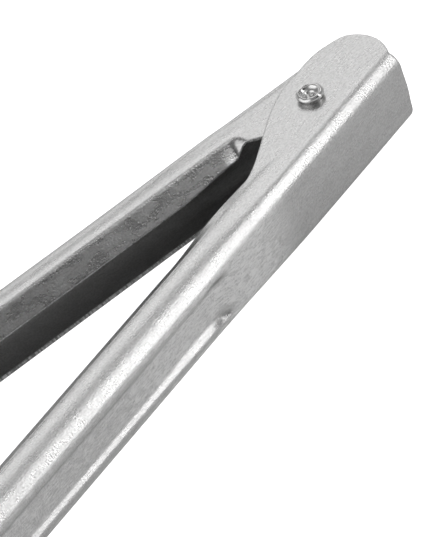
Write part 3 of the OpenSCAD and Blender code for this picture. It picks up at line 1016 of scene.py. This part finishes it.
class TONGS_OT_stage(bpy.types.Operator):
    """Make the floor, the studio light and the camera"""

    bl_idname = "tongs.stage"
    bl_label = "Stage"

    def execute(self, context):
        d = context.scene.tongs_stage
        self.make_floor(context, d)
        self.make_sky(context)
        self.make_key(context)
        self.make_camera(context, d)
        context.scene.view_settings.view_transform = "Standard"
        return {"FINISHED"}

    def make_floor(self, context, d):
        """A wide pale floor that gives off a little light, and much more of it to the camera alone."""
        corners = np.array([[-1, -1, 0], [1, -1, 0], [1, 1, 0], [-1, 1, 0]]) * FLOOR_HALF
        mesh = bpy.data.meshes.new("studio_floor")
        mesh.from_pydata(corners, [], [(0, 1, 2, 3)])
        floor = bpy.data.objects.new("studio_floor", mesh)
        context.scene.collection.objects.link(floor)
        material = bpy.data.materials.new("Pale floor")
        material.use_nodes = True
        tree = material.node_tree
        shader = tree.nodes["Principled BSDF"]
        speck = place(tree, "TexNoise", None, Scale=40.0, Detail=2.0)
        grey = tuple(d.floor_grey)
        tree.links.new(mix_colour(tree, speck, grey, darker(grey, 0.97)), shader.inputs["Base Color"])
        shader.inputs["Roughness"].default_value = 0.95
        shader.inputs["Specular IOR Level"].default_value = 0.0
        seen = tree.nodes.new("ShaderNodeLightPath").outputs["Is Camera Ray"]
        glow = place(tree, "Emission", None, (1, 1, 1, 1),
                     calc(tree, "MULTIPLY_ADD", seen, d.floor_glow, d.floor_light))
        both = place(tree, "AddShader", None, shader.outputs[0], glow)
        tree.links.new(both, tree.nodes["Material Output"].inputs["Surface"])
        mesh.materials.append(material)
        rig.stage(floor)

    def make_sky(self, context):
        """Soft light from all round with brighter and darker patches; the camera itself sees plain white."""
        world = bpy.data.worlds.new("Studio")
        context.scene.world = world
        world.use_nodes = True
        tree = world.node_tree
        tree.nodes.clear()
        heading = tree.nodes.new("ShaderNodeTexCoord").outputs["Generated"]
        height = place(tree, "SeparateXYZ", None, heading).node.outputs["Z"]
        light = remap(tree, height, 0.1, 0.6, SKY_LOW, SKY_HIGH)
        for towards, inner, outer, added in SKY_PATCHES:
            facing = tree.nodes.new("ShaderNodeVectorMath")
            facing.operation = "DOT_PRODUCT"
            tree.links.new(heading, facing.inputs[0])
            facing.inputs[1].default_value = Vector(towards).normalized()
            patch = remap(tree, facing.outputs["Value"], float(np.cos(np.radians(outer))),
                          float(np.cos(np.radians(inner))), 0.0, added)
            light = calc(tree, "ADD", patch, light)
        seen = tree.nodes.new("ShaderNodeLightPath").outputs["Is Camera Ray"]
        lit = place(tree, "Background", None, (1, 1, 1, 1), light)
        white = place(tree, "Background", None, (1, 1, 1, 1), BACKDROP)
        end = tree.nodes.new("ShaderNodeOutputWorld")
        tree.links.new(place(tree, "MixShader", None, seen, lit, white), end.inputs["Surface"])

    def make_key(self, context):
        """A long soft light, tilted over the arms and unseen by the camera."""
        lamp = bpy.data.lights.new("Key light", "AREA")
        lamp.shape, lamp.size, lamp.size_y = "RECTANGLE", KEY_WIDE, KEY_TALL
        lamp.energy = KEY_GLOW * np.pi * KEY_TALL * KEY_WIDE
        key = bpy.data.objects.new("Key light", lamp)
        context.scene.collection.objects.link(key)
        rise = (KEY_RISE - KEY_RISE.dot(KEY_HEADING) * KEY_HEADING).normalized()
        turn = Matrix((rise.cross(KEY_HEADING), rise, KEY_HEADING)).transposed().to_4x4()
        key.matrix_world = Matrix.Translation(PIVOT + KEY_AIM + KEY_HEADING * KEY_DISTANCE) @ turn
        key.visible_camera = False

    def make_camera(self, context, d):
        """A long lens, turned by heading, height and roll about the point it looks at."""
        ahead = Vector((-np.sin(d.azimuth) * np.cos(d.elevation), np.cos(d.azimuth) * np.cos(d.elevation),
                        -np.sin(d.elevation)))
        level = Vector((np.cos(d.azimuth), np.sin(d.azimuth), 0))
        upright = level.cross(ahead)
        right = np.cos(d.roll) * level - np.sin(d.roll) * upright
        up = np.sin(d.roll) * level + np.cos(d.roll) * upright
        head = Vector((0, 0, in_mm(context.scene.tongs_sheet).half_w * MM))
        aim = PIVOT + head + Vector(d.aim)
        lens = bpy.data.cameras.new("Camera")
        lens.lens, lens.clip_end = d.lens, 100
        camera = bpy.data.objects.new("Camera", lens)
        context.scene.collection.objects.link(camera)
        turn = Matrix((right, up, -ahead)).transposed().to_4x4()
        camera.matrix_world = Matrix.Translation(aim - d.distance * ahead) @ turn
        context.scene.camera = camera


class TONGS_PT_panel(bpy.types.Panel):
    """Lists the pieces and the stage"""

    bl_idname = "TONGS_PT_panel"
    bl_label = "Sheet-steel Tongs"
    bl_space_type = "VIEW_3D"
    bl_region_type = "UI"
    bl_category = "Tongs"

    def draw(self, context):
        for operator in STEPS:
            self.layout.operator(operator.bl_idname)
        for group in GROUPS:
            box = self.layout.box()
            box.label(text=group)
            values = getattr(context.scene, group)
            for key in values.__annotations__:
                box.prop(values, key)


GROUPS = {
    "tongs_sheet": TongsSheet,
    "tongs_outer": TongsOuterArm,
    "tongs_inner": TongsInnerArm,
    "tongs_rivet": TongsRivet,
    "tongs_spring": TongsSpring,
    "tongs_finish": TongsFinish,
    "tongs_stage": TongsStage,
}
STEPS = (TONGS_OT_stage, TONGS_OT_outer_arm, TONGS_OT_inner_arm, TONGS_OT_rivet, TONGS_OT_spring)


def register():
    """Registers the classes and hangs the property groups on the scene."""
    for cls in (*GROUPS.values(), *STEPS, TONGS_PT_panel):
        bpy.utils.register_class(cls)
    for name, cls in GROUPS.items():
        setattr(bpy.types.Scene, name, PointerProperty(type=cls))


def unregister():
    """Takes them away again."""
    for name in GROUPS:
        delattr(bpy.types.Scene, name)
    for cls in reversed((*GROUPS.values(), *STEPS, TONGS_PT_panel)):
        bpy.utils.unregister_class(cls)


def main():
    """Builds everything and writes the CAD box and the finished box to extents.json."""
    register()
    grain_group()
    scratch_group()
    scuff_group()
    bpy.ops.tongs.stage()
    bpy.ops.tongs.outer_arm()
    bpy.ops.tongs.inner_arm()
    bpy.ops.tongs.rivet()
    bpy.ops.tongs.spring()
    with open("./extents.json", "w") as file:
        json.dump({"cad": [list(c) for c in CAD_BOX], "visual": [list(c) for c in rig.bounds()]}, file)


if __name__ == "__main__":
    main()
